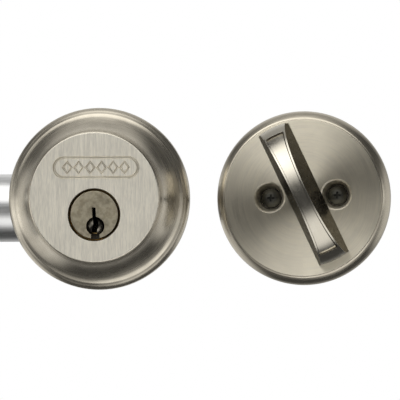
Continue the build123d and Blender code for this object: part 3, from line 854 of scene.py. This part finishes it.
def through_screws():
    """Two pan-head machine screws down in the cups."""
    screws = []
    for x, z in cup_places():
        outline = [
            (0, -0.9), (1.6, -0.8), (2.8, -0.35), (3.5, 0.35), (screw_head_radius, 1.1),
            (screw_head_radius, cup_floor), (screw_shank_radius, cup_floor),
            (screw_shank_radius, screw_tip - 0.4), (1.6, screw_tip), (0, screw_tip),
        ]
        screw = as_object("screw", lathe(outline, x, z, 64))
        carve(screw, cross_arms(x, z))
        shape = bmesh.new()
        shape.from_mesh(screw.data)
        bpy.data.objects.remove(screw)
        screws.append(shape)
    thing = as_object("through_screws", combined(screws))
    fit_piece(thing, "root", "screw_steel", "through_bolts", screw_metal)


# Thumbturn

turn_half_width = 6.0
turn_end_radius = 26.6
turn_height = 19.4
turn_reach = 26.8
turn_draft = tan(radians(10))
turn_rim = 0.6
dish_depth = 1.2
dish_end = 22.9
hub_radius = 4
hub_neck_radius = 3.4
spindle_radius = 2.5


def fin_height(u):
    """The fin's side profile: half an ellipse."""
    return turn_height * sqrt(1 - (u / turn_reach) ** 2)


def turn_stations():
    """Places along the bar, closer together near its ends and beside the dish's ends."""
    count = 64
    step_run = 0.3
    least_gap = 0.18
    corner = sqrt(turn_end_radius**2 - turn_half_width**2)
    even = [sin(pi / 2 * (-1 + 2 * n / count)) * corner for n in range(count + 1)]
    marks = []
    for place in (dish_end - step_run, dish_end):
        marks += [place, -place]
    kept = [u for u in even if min(abs(u - mark) for mark in marks) > least_gap]
    return sorted(kept + marks)


def turn_place(v, u, h):
    """From across, along and out of the bar to the lock's own frame, in metres."""
    x = turn_x + v * cos(turn_angle) + u * sin(turn_angle)
    z = turn_z - v * sin(turn_angle) + u * cos(turn_angle)
    return Vector((x, turn_foot - h, z)) * mm


def turn_section(u):
    """One ring of points round the bar: over the top, down one wall, under the foot and up the other."""
    height = fin_height(u)
    top_half = turn_half_width - height * turn_draft
    sunk = dish_depth if abs(u) < dish_end - 0.1 else 0.0
    floor_half = top_half - turn_rim
    top = [(-top_half, height), (-floor_half, height)]
    for t in (-0.97, -0.5, 0.0, 0.45, 0.86):
        top.append((t * floor_half, height - sunk))
    top += [(floor_half, height), (top_half, height)]
    levels = [height * share for share in (0.66, 0.33)]
    wall = [(turn_half_width - level * turn_draft, level) for level in levels]
    foot = [(t * turn_half_width, 0.0) for t in (1.0, 0.5, 0.0, -0.5, -1.0)]
    other_wall = [(-v, h) for v, h in reversed(wall)]
    return top + wall + foot + other_wall


def turn_along(u, v):
    """Stretches a station so that the ends of the bar are curved about its axis."""
    corner = sqrt(turn_end_radius**2 - turn_half_width**2)
    return u * sqrt(turn_end_radius**2 - v * v) / corner


def turn_bar():
    """The bar as one mesh, drawn as rings of points from one end to the other."""
    shape = bmesh.new()
    rings = []
    for u in turn_stations():
        rings.append([shape.verts.new(turn_place(v, turn_along(u, v), h)) for v, h in turn_section(u)])
    for one, two in zip(rings, rings[1:]):
        for n in range(len(one)):
            after = (n + 1) % len(one)
            shape.faces.new((one[n], two[n], two[after], one[after]))
    shape.faces.new(rings[0])
    shape.faces.new(list(reversed(rings[-1])))
    bmesh.ops.recalc_face_normals(shape, faces=shape.faces)
    return shape


def thumbturn_fin():
    """The bar on its hub and spindle, with a metal for each zone: painted shade, near black in the walls and
    ends of the dish and darker nickel on the outer walls.
    """
    thing = as_object("thumbturn_fin", turn_bar())
    ease_edges(thing, 0.16, 35, 2)
    spindle = [
        (0, turn_foot - 1), (hub_radius, turn_foot - 1), (hub_radius, -1.7), (hub_neck_radius, -1.7),
        (hub_neck_radius, -0.9), (hub_radius, -0.9), (hub_radius, -0.5), (spindle_radius, -0.5),
        (spindle_radius, 1.0), (0, 1.0),
    ]
    carve(thing, [lathe(spindle, turn_x, turn_z, 96)], "UNION")
    fit_piece(thing, "thumbturn", "satin_nickel", "thumbturn", turn_metal, painted_shade_metal, painted_shade_wall_metal)
    top_zone, dish_painted_shade_zone, wall_zone = range(3)
    steep = 0.9
    half_dish = 3
    across = Vector((cos(turn_angle), 0, -sin(turn_angle)))
    along = Vector((sin(turn_angle), 0, cos(turn_angle)))
    axis = Vector((turn_x, 0, turn_z)) * mm
    for face in thing.data.polygons:
        offset = (face.center - axis) / mm
        facing = face.normal.dot(across)
        beside_end = abs(abs(offset.dot(along)) - dish_end + 0.05) < 0.3
        in_end_wall = beside_end and abs(offset.dot(across)) < half_dish
        in_dish_wall = abs(facing) > steep and facing * offset.dot(across) < 0
        # Painted shade: near black in the dish's walls and ends, darker nickel on the bar's outer walls.
        if in_end_wall or in_dish_wall:
            face.material_index = dish_painted_shade_zone
        elif abs(facing) > steep:
            face.material_index = wall_zone
        else:
            face.material_index = top_zone


# The hidden and rear pieces keep their CAD shape and get their own metals

def dress(node, material):
    """Gives a piece that keeps its CAD shape one metal all over."""
    thing = nodes[node]
    if not thing.data.materials:
        thing.data.materials.append(material)
    for slot in thing.material_slots:
        slot.material = material


def dress_hidden_pieces():
    """Gives every piece that keeps its CAD shape its metal."""
    finishes = {
        "cylinder_body": brass_metal, "plug_cap": brass_metal, "pin_chamber_cap": brass_metal,
        "thumbturn_hub": brass_metal, "cylinder_retainer_plate": zinc_metal, "retainer_screws": screw_metal,
        "threaded_posts": zinc_metal, "anti_drill_pins": hard_metal, "pin_springs": spring_metal,
        "tailpiece": zinc_metal, "bolt_faceplate": plate_metal, "bolt_backplate": zinc_metal,
        "bolt_tube": zinc_metal, "bolt_case_left": zinc_metal, "bolt_case_right": zinc_metal,
        "case_rivets": spring_metal, "bolt": plate_metal, "bolt_tail": zinc_metal,
        "bolt_tail_rivet": spring_metal, "bolt_drive_pin": hard_metal, "saw_guard_roller": hard_metal,
        "bolt_cam": zinc_metal,
        "inside_backplate": zinc_metal, "thumbturn_bushing": black_acetal, "thumbturn_washer": spring_metal,
        "thumbturn_clip": spring_metal,
    }
    pin_stacks = 5
    for number in range(1, pin_stacks + 1):
        finishes["driver_pin_" + str(number)] = hard_metal
        finishes["key_pin_" + str(number)] = brass_metal
    for node, material in finishes.items():
        dress(node, material)


# Studio

def soft_panel_group():
    """How brightly a soft panel in one direction shows, for use in the studio's surroundings."""
    group, inside, outside = new_group(
        "soft_panel",
        [("Toward", "NodeSocketVector", (0, 0, 1)), ("Edge", "NodeSocketFloat", 0.5),
         ("Core", "NodeSocketFloat", 0.9), ("Power", "NodeSocketFloat", 1.0)],
        [("Light", "NodeSocketFloat")],
    )
    place = add(group, "ShaderNodeTexCoord")
    facing = add(group, "ShaderNodeVectorMath", operation="DOT_PRODUCT")
    aim = add(group, "ShaderNodeVectorMath", operation="NORMALIZE")
    group.links.new(inside.outputs["Toward"], aim.inputs[0])
    group.links.new(place.outputs["Generated"], facing.inputs[0])
    group.links.new(aim.outputs[0], facing.inputs[1])
    share = spread(group, facing.outputs["Value"], inside.outputs["Edge"], inside.outputs["Core"], 0.0, 1.0)
    group.links.new(math(group, "MULTIPLY", share, inside.outputs["Power"]), outside.inputs["Light"])
    return group


def toward_angle(across, round_angle):
    """A direction a given angle away from the front, turned round it from the right by way of the top."""
    lean = radians(across)
    turn = radians(round_angle)
    return sin(lean) * cos(turn), -cos(lean), sin(lean) * sin(turn)


def surroundings():
    """A dim warm room, with soft panels in front, at the sides and behind, and a plain white backdrop."""
    world = bpy.data.worlds.new("studio")
    bpy.context.scene.world = world
    world.use_nodes = True
    tree = world.node_tree
    background = tree.nodes["Background"]
    panel = soft_panel_group()
    panels = [
        (toward_angle(50, 98), 40, 20, 2.00),
        (toward_angle(52, 145), 30, 12, 1.00),
        (toward_angle(50, 290), 35, 15, 1.35),
        (toward_angle(54, 333), 28, 10, 0.80),
        (toward_angle(50, 245), 28, 10, 0.65),
        (toward_angle(118, 95), 44, 22, 0.46),
        (toward_angle(112, 196), 44, 22, 0.75),
        (toward_angle(110, 354), 36, 16, 0.75),
        (toward_angle(70, 4), 14, 5, 1.30),
        (toward_angle(78, 188), 15, 6, 1.30),
        (toward_angle(178, 90), 62, 30, 0.50),
    ]
    room_light = 0.08
    room_tint = (1.0, 0.985, 0.955, 1)
    backdrop_light = 1.0
    backdrop_tint = (1.0, 1.0, 1.0, 1)
    total = room_light
    for direction, edge, core, power in panels:
        node = add(tree, "ShaderNodeGroup", node_tree=panel)
        node.inputs["Toward"].default_value = direction
        node.inputs["Edge"].default_value = cos(radians(edge))
        node.inputs["Core"].default_value = cos(radians(core))
        node.inputs["Power"].default_value = power
        total = math(tree, "ADD", node.outputs["Light"], total)
    ray = add(tree, "ShaderNodeLightPath")
    seen = ray.outputs["Is Camera Ray"]
    strength = mixed(tree, "FLOAT", seen, total, backdrop_light)
    tint = mixed(tree, "RGBA", seen, room_tint, backdrop_tint)
    tree.links.new(strength, background.inputs["Strength"])
    tree.links.new(tint, background.inputs["Color"])


def floor():
    """A wide pale floor, well below the lock, that its metals don't reflect."""
    shape = bmesh.new()
    bmesh.ops.create_grid(shape, x_segments=8, y_segments=8, size=4.0)
    thing = as_object("floor", shape)
    thing.location = (0, 0, -0.3)
    pale = bpy.data.materials.new("pale_floor")
    pale.use_nodes = True
    shader = pale.node_tree.nodes["Principled BSDF"]
    shader.inputs["Base Color"].default_value = (0.85, 0.85, 0.84, 1)
    shader.inputs["Roughness"].default_value = 0.8
    thing.data.materials.append(pale)
    thing.visible_glossy = False


def camera():
    """A long lens, a little to the right of and below the two discs' common normal."""
    aim = Vector((36.96, 0, -0.5)) * mm
    right = radians(5.5)
    below = radians(2.0)
    distance = 2.6
    seen_width = 146.6 * mm
    offset = Vector((sin(right) * cos(below), -cos(right) * cos(below), -sin(below))) * distance
    data = bpy.data.cameras.new("camera")
    data.sensor_width = 36.0
    data.lens = data.sensor_width * distance / seen_width
    thing = bpy.data.objects.new("camera", data)
    bpy.context.scene.collection.objects.link(thing)
    thing.location = aim + offset
    thing.rotation_euler = (-offset).to_track_quat("-Z", "Y").to_euler()
    bpy.context.scene.camera = thing


surroundings()
floor()
camera()
bpy.context.scene.view_settings.view_transform = "Standard"

housing_shell()
plug_body()
rose_plate()
through_screws()
thumbturn_fin()
dress_hidden_pieces()
